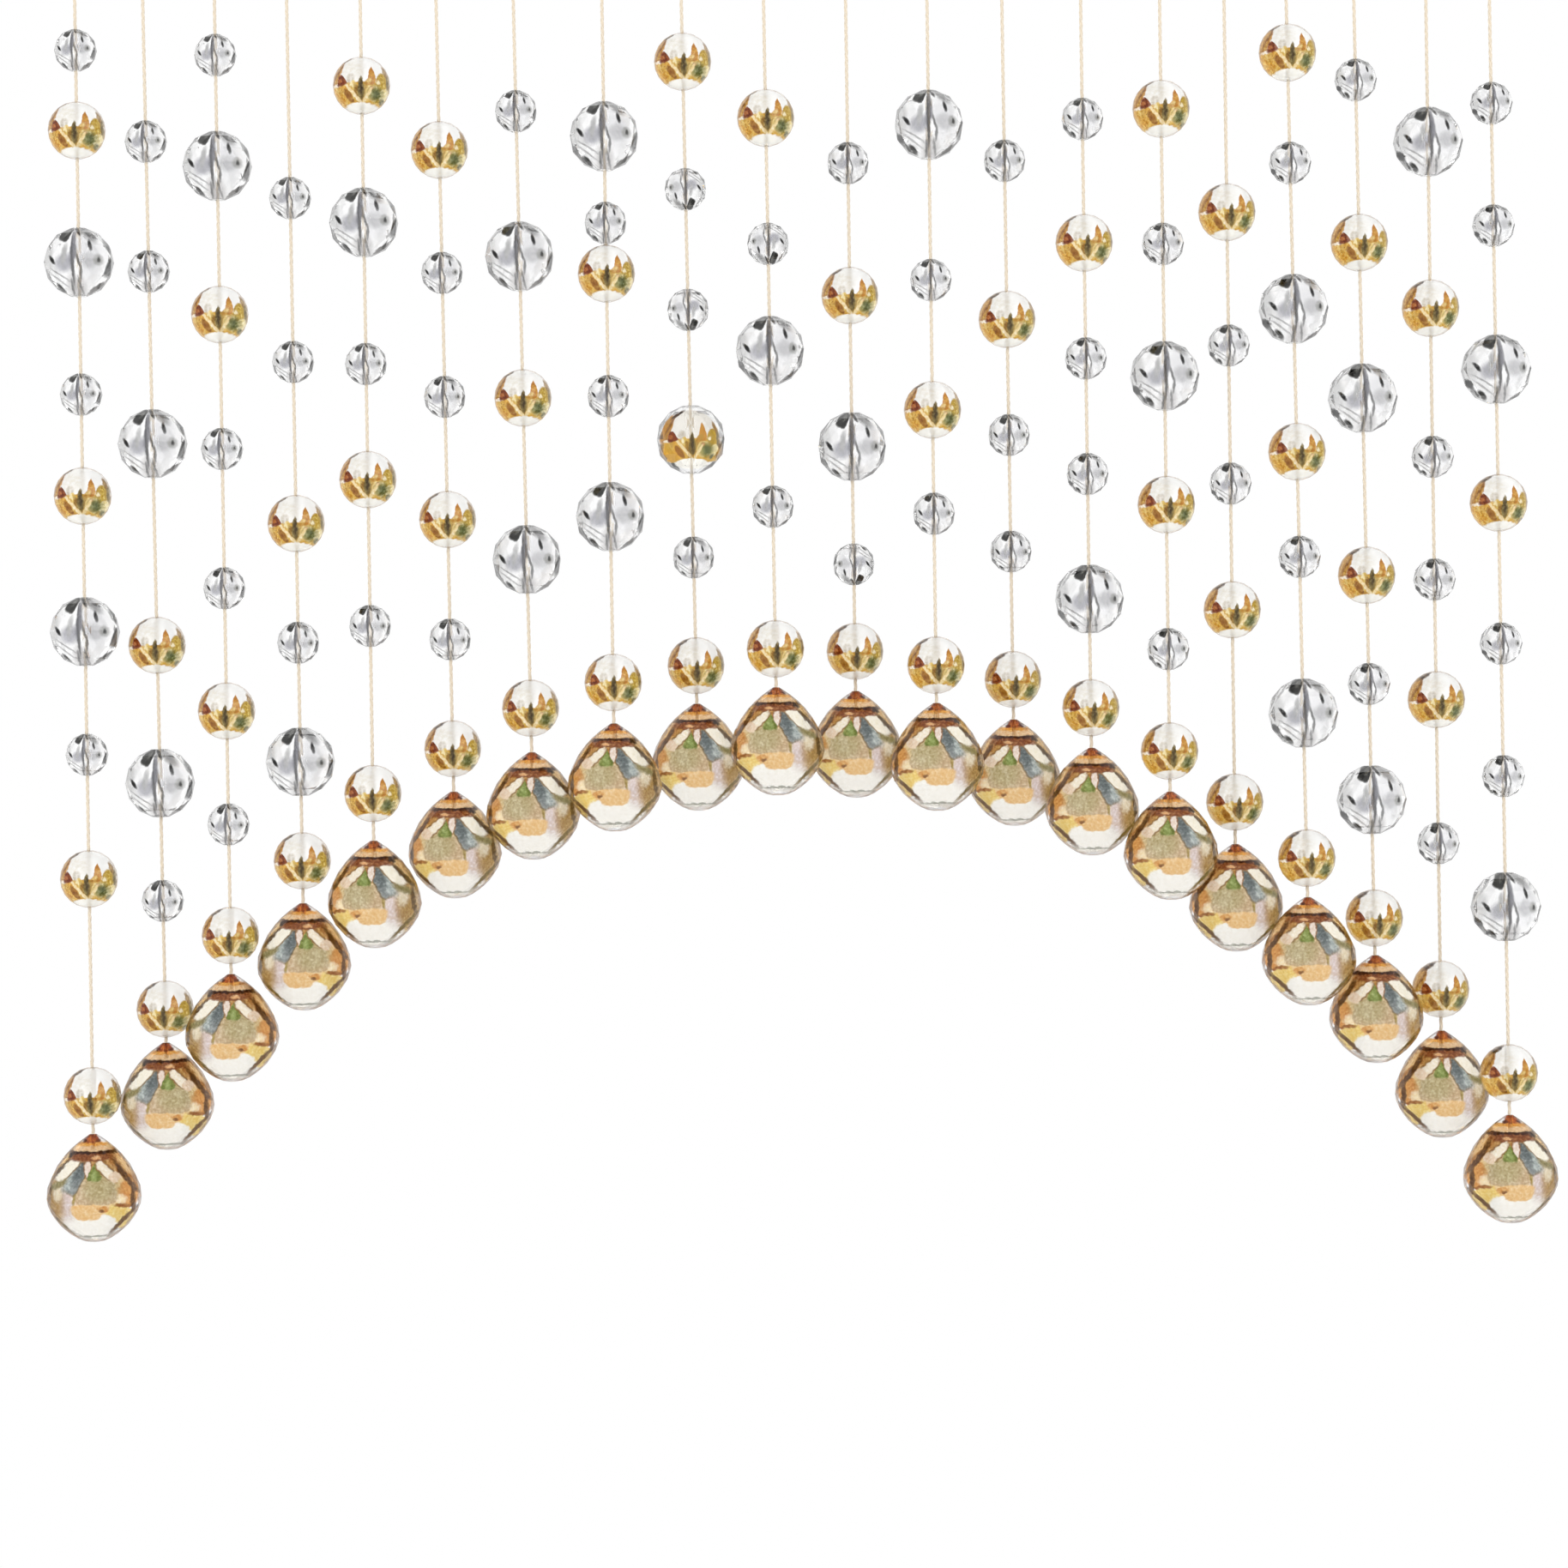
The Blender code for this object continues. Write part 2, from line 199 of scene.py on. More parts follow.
# Gold beads: a golden coating with coloured facets, drawn in the pattern the glass bends and
# reflects, so partly the coating's colour and partly painted light. The marks named shade, dark,
# grey, deep or edge are painted shade, and those named light, pale, cream or white are painted light.
GOLD_COATING_AND_PAINTED_LIGHT = (
    ("shade in the dome", "#F4F1EA", -0.26, 0.40, 0.30, 0.30, 0, 0, "soft"),
    ("left band", "#C48E38", -0.80, 0.34, 0.15, 0.52, -25, 0, "round"),
    ("inner edge of the band", "#9A6830", -0.70, 0.44, 0.035, 0.38, -30, 0, "round"),
    ("dark arc", "#4E3010", -0.42, 0.83, 0.05, 0.26, -58, 0, "round"),
    ("golden ground", "#D8AE4A", 0.0, -0.42, 1.0, 0.40, 0, 0, "square"),
    ("deep gold at the rim", "#AE8430", 0.86, -0.26, 0.14, 0.34, 14, 0, "soft"),
    ("deep gold at the left rim", "#B8821F", -0.88, -0.30, 0.12, 0.34, -14, 0, "soft"),
    ("grey over the seam", "#D2CABC", -0.28, 0.10, 0.10, 0.12, 0, 0, "soft"),
    ("golden lower left", "#DAA840", -0.62, -0.38, 0.32, 0.38, 24, 0, "square"),
    ("pale lower left", "#D8AE50", -0.72, -0.26, 0.12, 0.18, 30, 0, "round"),
    ("brown lower left", "#A0681E", -0.38, -0.46, 0.10, 0.26, 36, 0, "round"),
    ("light under the red facet", "#FBF0DC", -0.80, -0.09, 0.12, 0.04, 0, 0, "round"),
    ("tan middle", "#DDBE66", -0.20, -0.10, 0.14, 0.14, 0, 0.3, "round"),
    ("light in the middle", "#F4E8C0", -0.26, -0.10, 0.05, 0.07, 0, 0, "round"),
    ("left of the spike", "#A67E2E", -0.09, -0.30, 0.08, 0.20, 10, 0, "round"),
    ("right of the spike", "#B4903E", 0.20, -0.28, 0.08, 0.24, -8, 0, "round"),
    ("golden right", "#C4A23C", 0.76, 0.02, 0.22, 0.30, 0, 0.3, "round"),
    ("light in the golden right", "#F6EBC8", 0.66, -0.03, 0.05, 0.06, 0, 0, "round"),
    ("brown upper right", "#A07C44", 0.85, 0.33, 0.05, 0.24, 22, 0, "round"),
    ("grey right rim", "#8A7A52", 0.93, -0.02, 0.03, 0.26, 0, 0, "round"),
    ("pale lower right", "#F0E2AE", 0.78, -0.42, 0.12, 0.22, -30, 0, "round"),
    ("orange spike", "#CC9338", 0.43, 0.20, 0.18, 0.33, 4, 0.7, "round"),
    ("orange under the spike", "#C4963E", 0.34, -0.02, 0.10, 0.16, -24, 0, "round"),
    ("cream ring", "#E6CC86", 0.44, -0.38, 0.22, 0.28, -20, 0, "round"),
    ("green facet", "#868240", 0.54, -0.40, 0.17, 0.18, -30, 0, "soft"),
    ("orange in the green facet", "#B8864A", 0.44, -0.22, 0.06, 0.06, 0, 0, "round"),
    ("heart of the green facet", "#6A7040", 0.56, -0.42, 0.09, 0.11, -30, 0, "soft"),
    ("shade right of the foot", "#7C7850", 0.70, -0.63, 0.04, 0.09, -40, 0, "round"),
    ("olive spike", "#7E6A34", 0.06, -0.20, 0.15, 0.39, 0, 0.55, "round"),
    ("dark heart of the spike", "#55441F", 0.07, -0.18, 0.05, 0.20, 0, 0, "round"),
    ("cream seam", "#F0DCAC", -0.21, -0.39, 0.034, 0.38, 40, 0, "square"),
    ("right cream seam", "#EEDAA6", 0.25, -0.50, 0.03, 0.24, -34, 0, "square"),
    ("red facet", "#86390C", -0.62, 0.07, 0.21, 0.18, 10, 0.7, "square"),
    ("orange in the red facet", "#B4662A", -0.68, 0.05, 0.08, 0.07, 0, 0, "round"),
    ("white foot", "#FFFDF6", 0.02, -0.86, 0.56, 0.17, 0, 0, "round"),
)
# In millimetres from the drop's tip, as the half turned drops show them. A warm champagne tint with
# patches drawn in the pattern the cut glass bends and reflects, so partly the glass's tint and partly
# painted light. The edges, the dark and shade marks, the spot and the dark lines are painted shade,
# and the marks named light, cream or white are painted light.
DROP_TINT_AND_PAINTED_LIGHT = (
    ("warm ground", "#ECCF9C", 0.0, -18.0, 19.5, 15.0, 0, 0.3, "square"),
    ("crown", "#BE9050", 0.6, -13.4, 12.5, 4.4, 0, 0.2, "square"),
    ("upper brown band", "#B07A40", -13.8, -14.0, 2.4, 10.5, -38, 0, "square"),
    ("upper right band", "#D9B780", 15.4, -15.6, 1.6, 8.0, 38, 0, "soft"),
    ("pale stroke in the band", "#E4BE84", -13.6, -12.6, 0.7, 5.0, -38, 0, "round"),
    ("left orange", "#D99E56", -15.8, -24.6, 3.8, 5.8, 0, 0, "round"),
    ("cream in the orange", "#F8E6C2", -13.0, -26.6, 1.8, 1.6, 30, 0, "soft"),
    ("left yellow", "#EBD080", -12.4, -34.2, 5.2, 5.0, 30, 0, "square"),
    ("yellow on the right", "#DDC27C", 14.6, -34.6, 3.0, 6.0, -36, 0, "soft"),
    ("white foot", "#F6F3EC", 1.0, -38.4, 12.0, 5.8, 0, 0, "square"),
    ("lavender field", "#DACBC6", 9.6, -27.6, 3.8, 5.6, 0, 0, "soft"),
    ("golden right field", "#B08C50", 15.2, -27.0, 3.6, 8.4, 0, 0, "soft"),
    ("cream in the right field", "#E6DAC0", 13.2, -23.4, 1.6, 2.8, 0, 0, "soft"),
    ("dome", "#CDB592", -3.4, -23.4, 9.2, 5.4, 0, 0.2, "square"),
    ("green in the dome", "#BBAC80", -5.4, -21.8, 5.0, 4.4, 0, 0, "soft"),
    ("edge of the dome", "#A8904A", 5.4, -25.6, 0.6, 3.0, 10, 0, "round"),
    ("peach lens", "#E8C48C", 0.3, -31.8, 7.4, 3.4, 180, 0.3, "square"),
    ("brown end of the lens", "#D6A05A", -6.4, -30.6, 2.2, 1.5, 0, 0, "round"),
    ("spot in the lens", "#8A5A30", -5.6, -31.3, 1.0, 0.7, 0, 0, "round"),
    ("edge of the facet", "#7C602C", 4.9, -17.8, 3.5, 6.9, 29, 0.2, "square"),
    ("blue grey facet", "#8B908E", 4.9, -17.8, 2.9, 6.4, 29, 0.2, "square"),
    ("light in the facet", "#AEB6B2", 7.6, -18.4, 1.9, 3.8, 34, 0, "soft"),
    ("dark in the facet", "#666E6E", 3.8, -15.8, 1.6, 3.8, 24, 0, "soft"),
    ("edge of the right petal", "#8C6A34", 9.2, -14.0, 3.1, 6.9, 47, 0.2, "square"),
    ("right cream petal", "#F7F1E1", 9.2, -14.0, 2.5, 6.4, 47, 0.2, "square"),
    ("shade under the petal", "#94895A", 13.4, -20.4, 3.4, 1.0, -24, 0, "soft"),
    ("edge of the small petal", "#94642E", 0.1, -13.9, 2.3, 3.8, 180, 0.6, "round"),
    ("small pink petal", "#EADACC", 0.1, -13.9, 1.7, 3.2, 180, 0.6, "round"),
    ("green wedge", "#7C863A", -2.9, -15.0, 3.6, 3.7, 0, 0.9, "square"),
    ("light in the wedge", "#98A560", -2.8, -16.4, 1.2, 1.8, 0, 0.4, "soft"),
    ("edge of the left petal", "#946A34", -6.9, -14.3, 2.3, 5.1, -45, 0.2, "square"),
    ("left cream petal", "#F2E8D4", -6.9, -14.3, 1.7, 4.6, -45, 0.2, "square"),
    ("left pale facet", "#E8D2B8", -10.8, -17.4, 2.2, 2.2, -30, 0, "round"),
    ("left brown dash", "#A0642C", -13.8, -29.3, 2.8, 0.7, 8, 0, "round"),
    ("smile in the foot", "#A8A89C", 0.0, -42.4, 6.6, 0.32, 0, 0, "round"),
    ("left edge line", "#5E3812", -14.4, -17.0, 0.75, 8.6, -35, 0, "round"),
    ("left belt line", "#66401A", -17.6, -27.0, 0.75, 6.4, 0, 0, "round"),
    ("right edge line", "#5A3E16", 13.4, -15.0, 0.75, 5.8, 42, 0, "round"),
    ("right belt line", "#64481C", 17.4, -26.4, 0.75, 6.8, 6, 0, "round"),
    ("left foot line", "#6A451A", -13.2, -35.8, 0.7, 7.8, 45, 0, "round"),
    ("right foot line", "#7A6226", 12.8, -36.2, 0.7, 7.8, -45, 0, "round"),
    ("collar patch", "#8A4E26", -0.4, -9.0, 8.4, 1.6, 0, 0, "square"),
    ("light in the collar", "#E0B27E", -3.0, -9.4, 1.6, 0.6, 0, 0, "round"),
    ("collar line", "#3E1A08", 0.2, -7.1, 8.8, 0.6, 0, 0, "square"),
    ("collar end", "#2A1406", 8.2, -8.3, 1.3, 0.7, -30, 0, "round"),
    ("pale neck", "#E4C296", 0.2, -5.4, 7.6, 1.1, 0, 0.3, "square"),
    ("golden neck line", "#DB9E48", 0.4, -3.9, 5.2, 0.5, 0, 0, "square"),
    ("cap", "#9A4412", 0.0, -1.4, 4.2, 2.0, 0, 0.75, "square"),
    ("light in the cap", "#BE6420", -0.2, -1.9, 1.5, 0.8, 0, 0.4, "round"),
    ("left of the cap", "#5E2608", -2.7, -2.6, 0.9, 0.6, 0, 0, "round"),
    ("right of the cap", "#5E2608", 2.9, -2.6, 0.9, 0.6, 0, 0, "round"),
)
HEART_GROUND = (("heart", "#F2EEE6", 0.0, 0.0, 0.98, 0.98, 0, 0, "round"),)
HEART_SHARE = 0.83                  # a gold heart's size as a share of its bead

# How each glass looks, with lengths in bead radii, and in millimetres for the drops.
# ragged, ragged_scale: how far the edges of its marks wander, and how many times in a unit.
# blur: softness of the marks.
# thinnest, thickest, fleck_scale: how thick the glass acts from fleck to fleck, where 2 shows a
# mark's own colour, and how many flecks in a unit.
# rim, rim_from, rim_to: colour of its outline, a painted shade that darkens a face as it turns edge
# on in place of the dark edge its refraction gives, and where that begins and is full: 0 faces the
# viewer, 1 is edge on.
# hole: radius inside which the wall of the hole shows no marks.
# roughness, ior: how dull its surface is, and how much it bends light.
# clearness: 1 is clear, and less is milky.
FINISH_COLUMNS = ("ragged", "ragged_scale", "blur", "thinnest", "thickest", "fleck_scale",
                  "rim", "rim_from", "rim_to", "hole", "roughness", "ior", "clearness")
GLASS_FINISH = {
    "clear": (0.045, 9.0, 0.020, 1.65, 2.15, 9.0, "#848484", 0.68, 0.86, 0.18, 0.01, 1.33, 0.85),
    "gold": (0.09, 9.0, 0.026, 0.7, 2.3, 8.0, "#A87C2C", 0.64, 0.95, 0.14, 0.03, 1.28, 0.6),
    "drop": (1.3, 0.55, 0.36, 1.2, 2.5, 0.9, "#94682C", 0.58, 0.84, 1.1, 0.01, 1.20, 0.8),
}


def a_length(name, description, default):
    return FloatProperty(name=name, description=description, default=default, unit="LENGTH")


def a_colour(name, description, default):
    return FloatVectorProperty(name=name, description=description, default=default,
                               subtype="COLOR", size=3, min=0, max=1)


class CurtainSizes(bpy.types.PropertyGroup):
    """Sizes of the pieces"""
    tape_thickness: a_length("Tape thickness", "Thickness of the woven heading tape", 1.8 * MM)
    stitch_pitch: a_length("Stitch pitch", "From one stitch of the tape's hems to the next", 3.2 * MM)
    stitch_length: a_length("Stitch length", "Length of a stitch that shows on the tape", 2.3 * MM)
    cord_width: a_length("Cord width", "Width of a laid cord", 1.6 * MM)
    cord_lay: a_length("Cord lay", "Length in which the plies go once round", 10 * MM)
    hole_radius: a_length("Hole radius", "Radius of a bead's hole", 1.25 * MM)
    small_radius: a_length("Small bead radius", "Radius of a small clear bead's corners", 9.0 * MM)
    gold_radius: a_length("Gold bead radius", "Radius of a gold bead", 12.2 * MM)
    large_radius: a_length("Large bead radius", "Radius of a large clear bead's corners", 14.8 * MM)
    clear_sides: IntProperty(
        name="Clear bead sides", description="Facets round a clear bead", default=12, min=6)
    gold_sides: IntProperty(
        name="Gold bead sides", description="Steps round a gold bead", default=24, min=12)
    drop_sides: IntProperty(
        name="Drop sides", description="Facets round a drop", default=20, min=10)


class CurtainColours(bpy.types.PropertyGroup):
    """Colours of the pieces"""
    cord: a_colour("Cord", "Colour of the cords", (0.76, 0.665, 0.53))
    tape: a_colour("Tape", "Colour of the heading tape", (0.84, 0.76, 0.64))
    clear: a_colour("Clear glass", "Body colour of the clear beads", (0.99, 0.99, 0.993))
    gold: a_colour("Gold glass", "Body colour of the gold beads", (0.985, 0.98, 0.965))
    drop: a_colour("Champagne glass", "Body colour of the drops", (0.93, 0.93, 0.94))


class StageSettings(bpy.types.PropertyGroup):
    """The room round the curtain"""
    floor_depth: a_length("Floor depth", "How far the floor lies below the origin", 0.9)
    camera_distance: a_length("Camera distance", "From the camera to the curtain's plane", 1.846)
    camera_roll: FloatProperty(
        name="Camera roll", description="Turn of the camera about its line of sight",
        default=math.radians(-1.0), subtype="ANGLE")
    lamp_power: FloatProperty(
        name="Lamp power", description="Power of each soft lamp in watts", default=10.0, min=0)


def sizes():
    return bpy.context.scene.curtain_sizes


def colours():
    return bpy.context.scene.curtain_colours


def linear(hex_colour):
    """Turns a written colour such as #C49A60 into the renderer's linear one."""
    parts = [int(hex_colour[i:i + 2], 16) / 255 for i in (1, 3, 5)]
    return tuple(p / 12.92 if p <= 0.04045 else ((p + 0.055) / 1.055) ** 2.4 for p in parts)


def strand_rows():
    return [dict(zip(STRAND_COLUMNS, row)) for row in STRANDS]


def bead_chart(strand):
    """Each bead of a strand as its letter and its fall in metres, from the top down."""
    return [(word[0], float(word[1:]) * MM) for word in strand["beads"].split()]


def hang(strand):
    """Places a straight strand: its local -Z runs from the tape's edge to the drop's tip.

    Returns the placing matrix, and how much longer the leaning cord is than its fall.
    """
    fall = strand["tip"] * MM
    top = Vector((strand["heading_x"] * MM, 0, -TAPE_HEIGHT))
    tip = Vector((strand["pendant_x"] * MM, -strand["forward"] * MM, -TAPE_HEIGHT - fall))
    down = tip - top
    turn = Vector((0, 0, -1)).rotation_difference(down)
    return Matrix.Translation(top) @ turn.to_matrix().to_4x4(), down.length / fall


def seats(letters):
    """The placing matrix of every bead whose letter is given, strand by strand, and its letter."""
    found = []
    for strand in strand_rows():
        place, stretch = hang(strand)
        for letter, fall in bead_chart(strand):
            if letter in letters:
                found.append((place @ Matrix.Translation((0, 0, -fall * stretch)), letter))
    return found


# Mesh tools

def add_ring(bm, height, radius, sides, step=0.0):
    """A ring of points round Z. step turns it by that share of one side."""
    turn = Matrix.Rotation(2 * math.pi * step / sides, 4, "Z")
    return bmesh.ops.create_circle(
        bm, cap_ends=False, segments=sides, radius=radius,
        matrix=Matrix.Translation((0, 0, height)) @ turn)["verts"]


def ring_edges(ring):
    points = set(ring)
    return {edge for point in ring for edge in point.link_edges if edge.other_vert(point) in points}


def bridge(bm, rings, closed=False):
    """Joins each ring to the next, and the last to the first where the shape is bored through."""
    loops = [ring_edges(ring) for ring in rings]
    pairs = list(zip(loops, loops[1:]))
    if closed:
        pairs.append((loops[-1], loops[0]))
    for upper, lower in pairs:
        bmesh.ops.bridge_loops(bm, edges=list(upper | lower))


def cut_facets(bm):
    """Cuts each four sided face into two flat triangles, along its shorter diagonal."""
    bmesh.ops.triangulate(bm, faces=bm.faces, quad_method="SHORT_EDGE")
    bmesh.ops.recalc_face_normals(bm, faces=bm.faces)


def keep_place(bm, unit):
    """Keeps each point's own place on its bead, in the given unit, for the glass to read."""
    layer = bm.verts.layers.float_vector.new("cut_place")
    for vert in bm.verts:
        vert[layer] = vert.co / unit


def to_mesh(bm, name, smooth=False):
    mesh = bpy.data.meshes.new(name)
    bm.to_mesh(mesh)
    bm.free()
    if smooth:
        mesh.shade_smooth()
        mesh.set_sharp_from_angle(angle=SHARP_FROM)
    return mesh


def join_copies(placed):
    """Joins copies of meshes: placed is a list of (mesh, matrix)."""
    bm = bmesh.new()
    for template, matrix in placed:
        copy = template.copy()
        copy.transform(matrix)
        bm.from_mesh(copy)
        bpy.data.meshes.remove(copy)
    return bm


def add_piece(name, mesh, material, nodes=()):
    """Puts a finished mesh into the scene, riding on the curtain's one body."""
    mesh.materials.clear()
    mesh.materials.append(material)
    obj = bpy.data.objects.new(name, mesh)
    bpy.context.scene.collection.objects.link(obj)
    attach(obj, BODY)
    if nodes:
        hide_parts(*nodes)
    return obj


# Beads and drops

def bored_ball(radius, sides, degrees, twist, mouth):
    """Rings of points round a ball, joined to each other and to the wall of the hole through it.

    degrees: height of each ring above the belt. twist: how much of a side every second ring is
    turned by. mouth: height of the hole's mouth in bead radii.
    """
    bm = bmesh.new()
    rings = []
    for number, angle in enumerate(map(math.radians, degrees)):
        rings.append(add_ring(bm, radius * math.sin(angle), radius * math.cos(angle), sides,
                              twist * (number % 2)))
    for height in (-mouth * radius, mouth * radius):
        rings.append(add_ring(bm, height, sizes().hole_radius, HOLE_SIDES))
    bridge(bm, rings, closed=True)
    return bm


def clear_bead(radius):
    """A cut clear bead: bands of triangular facets."""
    bm = bored_ball(radius, sizes().clear_sides, CLEAR_RINGS, HALF_SIDE, CLEAR_MOUTH)
    cut_facets(bm)
    keep_place(bm, radius)
    return to_mesh(bm, "clear_bead")


def gold_bead(radius):
    """A polished gold bead: a smooth ball with a rounded hole."""
    bm = bored_ball(radius, sizes().gold_sides, GOLD_RINGS, 0, GOLD_MOUTH)
    bmesh.ops.recalc_face_normals(bm, faces=bm.faces)
    keep_place(bm, radius)
    return to_mesh(bm, "gold_bead")


def cut_drop():
    """A cut drop with its tip at the origin and a blind hole for the cord's thin end."""
    sides = sizes().drop_sides
    bm = bmesh.new()
    rings = [add_ring(bm, height, DROP_HOLE, HOLE_SIDES) for height in (-PIN_LENGTH - PIN_GAP, 0)]
    for number, (depth, radius) in enumerate(DROP_OUTLINE):
        rings.append(add_ring(bm, -depth * MM, radius * MM, sides, HALF_SIDE * (number % 2)))
    bridge(bm, rings)
    bmesh.ops.holes_fill(bm, edges=bm.edges, sides=sides)
    cut_facets(bm)
    keep_place(bm, MM)
    return to_mesh(bm, "cut_drop")


def root_swellings():
    """The tape swells a little where each cord runs up inside it."""
    one = bmesh.new()
    bmesh.ops.create_uvsphere(one, u_segments=12, v_segments=8, radius=1,
                              matrix=Matrix.Diagonal((*SWELLING, 1)))
    swelling = to_mesh(one, "root_swelling")
    height = SWELLING_RISE - TAPE_HEIGHT
    placed = [(swelling, Matrix.Translation((strand["heading_x"] * MM, 0, height)))
              for strand in strand_rows()]
    return to_mesh(join_copies(placed), "root_swellings", smooth=True)


def stitch():
    """One stitch of thread along X."""
    bm = bmesh.new()
    form = Matrix.Diagonal((sizes().stitch_length / 2, STITCH_RADIUS, STITCH_RADIUS, 1))
    bmesh.ops.create_uvsphere(bm, u_segments=6, v_segments=4, radius=1, matrix=form)
    return to_mesh(bm, "stitch")


def tape_stitches():
    """Two rows of stitches along each face of the tape, and a bar tack over each cord's root."""
    thread = stitch()
    face = sizes().tape_thickness / 2
    pitch = sizes().stitch_pitch
    count = int(TAPE_LENGTH / pitch)
    longer = Matrix.Diagonal((TACK_LENGTH, 1, 1, 1))
    placed = []
    for side in (-1, 1):
        for height in HEM_HEIGHTS:
            for number in range(count):
                along = (number - (count - 1) / 2) * pitch
                placed.append((thread, Matrix.Translation((along, side * face, height))))
        for strand in strand_rows():
            for number in range(TACKS):
                place = Matrix.Translation((strand["heading_x"] * MM, side * (face + TACK_LIFT),
                                            TACK_RISE + TACK_STEP * number - TAPE_HEIGHT))
                lean = Matrix.Rotation(TACK_LEAN * (-1) ** number, 4, "Y")
                placed.append((thread, place @ lean @ longer))
    return to_mesh(join_copies(placed), "tape_stitches", smooth=True)


def cord_turn():
    """One turn of the plies laid round each other, from the origin down along -Z."""
    cord_radius = sizes().cord_width / 2
    ply_radius = cord_radius * PLY_SHARE
    shift = Matrix.Translation((cord_radius - ply_radius, 0, 0))
    bm = bmesh.new()
    for ply in range(PLIES):
        turn = Matrix.Rotation(2 * math.pi * ply / PLIES, 4, "Z")
        bmesh.ops.create_circle(bm, cap_ends=False, segments=PLY_SIDES, radius=ply_radius,
                                matrix=turn @ shift)
    bmesh.ops.spin(bm, geom=bm.verts[:] + bm.edges[:], cent=(0, 0, 0), axis=(0, 0, 1),
                   dvec=(0, 0, -1 / PLY_STEPS), angle=2 * math.pi, steps=PLY_STEPS, use_merge=False)
    return to_mesh(bm, "cord_turn")


# Materials

def feed(tree, socket, given):
    """Links a socket to another one, or sets its own value."""
    if isinstance(given, bpy.types.NodeSocket):
        tree.links.new(given, socket)
    else:
        socket.default_value = given


def add_node(tree, kind, inputs, **settings):
    """Adds a shader node and returns its outputs. inputs holds a socket or a value for each."""
    node = tree.nodes.new(f"ShaderNode{kind}")
    for name, value in settings.items():
        setattr(node, name, value)
    for name, given in inputs.items():
        feed(tree, node.inputs[name], given)
    return node.outputs


def new_group(name, inputs, output):
    """An empty node group, what it is given and what it gives. Its sockets are (name, kind)."""
    tree = bpy.data.node_groups.new(name, "ShaderNodeTree")
    for socket, kind in inputs:
        tree.interface.new_socket(socket, in_out="INPUT", socket_type=f"NodeSocket{kind}")
    socket, kind = output
    tree.interface.new_socket(socket, in_out="OUTPUT", socket_type=f"NodeSocket{kind}")
    return tree, tree.nodes.new("NodeGroupInput").outputs, tree.nodes.new("NodeGroupOutput").inputs


def mark_group(corners):
    """A node group that masks one mark, with round or square corners."""
    name = f"Cut mark, {corners}"
    if name in bpy.data.node_groups:
        return bpy.data.node_groups[name]
    sockets = (("Place", "Vector"), ("Centre", "Vector"), ("Half Size", "Vector"),
               ("Turn", "Vector"), ("Top Width", "Float"), ("Inner", "Float"), ("Outer", "Float"))
    tree, given, out = new_group(name, sockets, ("Mask", "Float"))
    own = add_node(tree, "Mapping", {
        "Vector": given["Place"], "Location": given["Centre"], "Rotation": given["Turn"],
        "Scale": given["Half Size"]}, vector_type="TEXTURE")
    parts = add_node(tree, "SeparateXYZ", {"Vector": own["Vector"]})
    narrow = add_node(tree, "MapRange", {
        "Value": parts["Z"], "From Min": -1.0, "From Max": 1.0, "To Min": 1.0,
        "To Max": given["Top Width"]}, clamp=True)
    across = add_node(tree, "Math", {0: parts["X"], 1: narrow["Result"]}, operation="DIVIDE")
    flat = add_node(tree, "CombineXYZ", {"X": across["Value"], "Z": parts["Z"]})
    reach = flat["Vector"]
    if corners == "square":
        squared = add_node(tree, "VectorMath", {0: reach, 1: reach}, operation="MULTIPLY")
        reach = squared["Vector"]
    size = add_node(tree, "VectorMath", {0: reach, 1: reach}, operation="DOT_PRODUCT")
    edge = add_node(tree, "MapRange", {
        "Value": size["Value"], "From Min": given["Inner"], "From Max": given["Outer"],
        "To Min": 1.0, "To Max": 0.0}, interpolation_type="SMOOTHSTEP")
    feed(tree, out["Mask"], edge["Result"])
    return tree


def place_group():
    """A node group that makes the edges of the marks ragged: it shifts a place by a fine noise."""
    name = "Ragged place"
    if name in bpy.data.node_groups:
        return bpy.data.node_groups[name]
    sockets = (("Place", "Vector"), ("Scale", "Float"), ("Amount", "Float"))
    tree, given, out = new_group(name, sockets, ("Place", "Vector"))
    noise = add_node(tree, "TexNoise", {
        "Vector": given["Place"], "Scale": given["Scale"], "Detail": 1.0})
    level = add_node(tree, "VectorMath", {0: noise["Color"], 1: NOISE_MIDDLE}, operation="SUBTRACT")
    shift = add_node(tree, "VectorMath", {
        0: level["Vector"], 1: given["Amount"], 2: given["Place"]}, operation="MULTIPLY_ADD")
    feed(tree, out["Place"], shift["Vector"])
    return tree


def fleck_group():
    """A node group that deepens a colour in fine flecks, as if the glass were thicker there."""
    name = "Flecks"
    if name in bpy.data.node_groups:
        return bpy.data.node_groups[name]
    sockets = (("Place", "Vector"), ("Colour", "Color"), ("Scale", "Float"), ("Thinnest", "Float"),
               ("Thickest", "Float"))
    tree, given, out = new_group(name, sockets, ("Colour", "Color"))
    noise = add_node(tree, "TexNoise", {
        "Vector": given["Place"], "Scale": given["Scale"], "Detail": 3.0, "Roughness": 0.6})
    lowest, highest = NOISE_RANGE
    level = add_node(tree, "MapRange", {
        "Value": noise["Fac"], "From Min": lowest, "From Max": highest,
        "To Min": given["Thinnest"], "To Max": given["Thickest"]})
    deep = add_node(tree, "Gamma", {"Color": given["Colour"], "Gamma": level["Result"]})
    feed(tree, out["Colour"], deep["Color"])
    return tree


